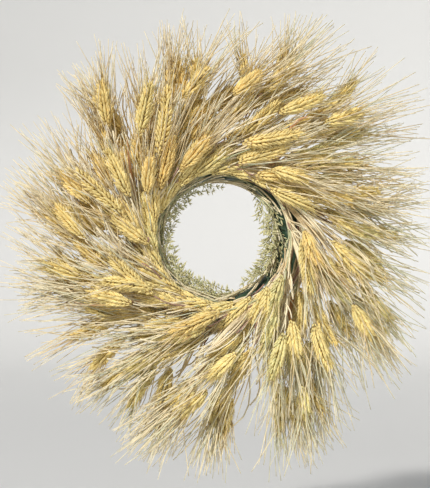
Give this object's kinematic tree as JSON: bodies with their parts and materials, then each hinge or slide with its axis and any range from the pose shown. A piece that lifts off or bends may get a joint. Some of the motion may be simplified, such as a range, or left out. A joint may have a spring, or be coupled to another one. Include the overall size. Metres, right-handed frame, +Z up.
{
  "type": "harvest door wreath",
  "caption": "Harvest door wreath of bearded wheat wired in bunches round a film-wrapped straw form, with a swinging wire hanger ring.",
  "frame": {"origin": "the point where a door hook bears inside the top of the hanger ring", "axes": "+Z up, front of the wreath faces -Y, +X to the right as seen from the front"},
  "size_m": [0.6284, 0.1221, 0.6574],
  "materials": {
    "wheat": "dry matte straw",
    "grass": "dry matte grass",
    "straw": "matte bound straw",
    "green_film": "thin glossy film",
    "paddle_wire": "green enamel",
    "galvanised_wire": "dull zinc"
  },
  "bodies": {
    "wreath": {"straw_form": "straw", "film_wrap": "green_film", "binding_wire": "paddle_wire", "hanger_pin": "galvanised_wire", "back_wheat_01": "wheat", "back_wheat_02": "wheat", "back_wheat_03": "wheat", "back_wheat_04": "wheat", "back_wheat_05": "wheat", "back_wheat_06": "wheat", "back_wheat_07": "wheat", "back_wheat_08": "wheat", "back_wheat_09": "wheat", "back_wheat_10": "wheat", "back_wheat_11": "wheat", "back_wheat_12": "wheat", "middle_wheat_01": "wheat", "middle_wheat_02": "wheat", "middle_wheat_03": "wheat", "middle_wheat_04": "wheat", "middle_wheat_05": "wheat", "middle_wheat_06": "wheat", "middle_wheat_07": "wheat", "middle_wheat_08": "wheat", "middle_wheat_09": "wheat", "middle_wheat_10": "wheat", "middle_wheat_11": "wheat", "middle_wheat_12": "wheat", "front_wheat_01": "wheat", "front_wheat_02": "wheat", "front_wheat_03": "wheat", "front_wheat_04": "wheat", "front_wheat_05": "wheat", "front_wheat_06": "wheat", "front_wheat_07": "wheat", "front_wheat_08": "wheat", "front_wheat_09": "wheat", "front_wheat_10": "wheat", "front_wheat_11": "wheat", "front_wheat_12": "wheat", "inner_grass_1": "grass", "inner_grass_2": "grass", "inner_grass_3": "grass", "inner_grass_4": "grass", "inner_grass_5": "grass", "inner_grass_6": "grass", "inner_grass_7": "grass", "inner_grass_8": "grass", "inner_grass_9": "grass"},
    "hanger_ring": {"hanger_ring": "galvanised_wire"}
  },
  "joints": [
    {"name": "hanger_swing", "type": "hinge", "parent": "wreath", "child": "hanger_ring", "pos_m": [0, 0, -0.021], "axis": [-1, 0, 0], "range_deg": [0, 170]}
  ]
}
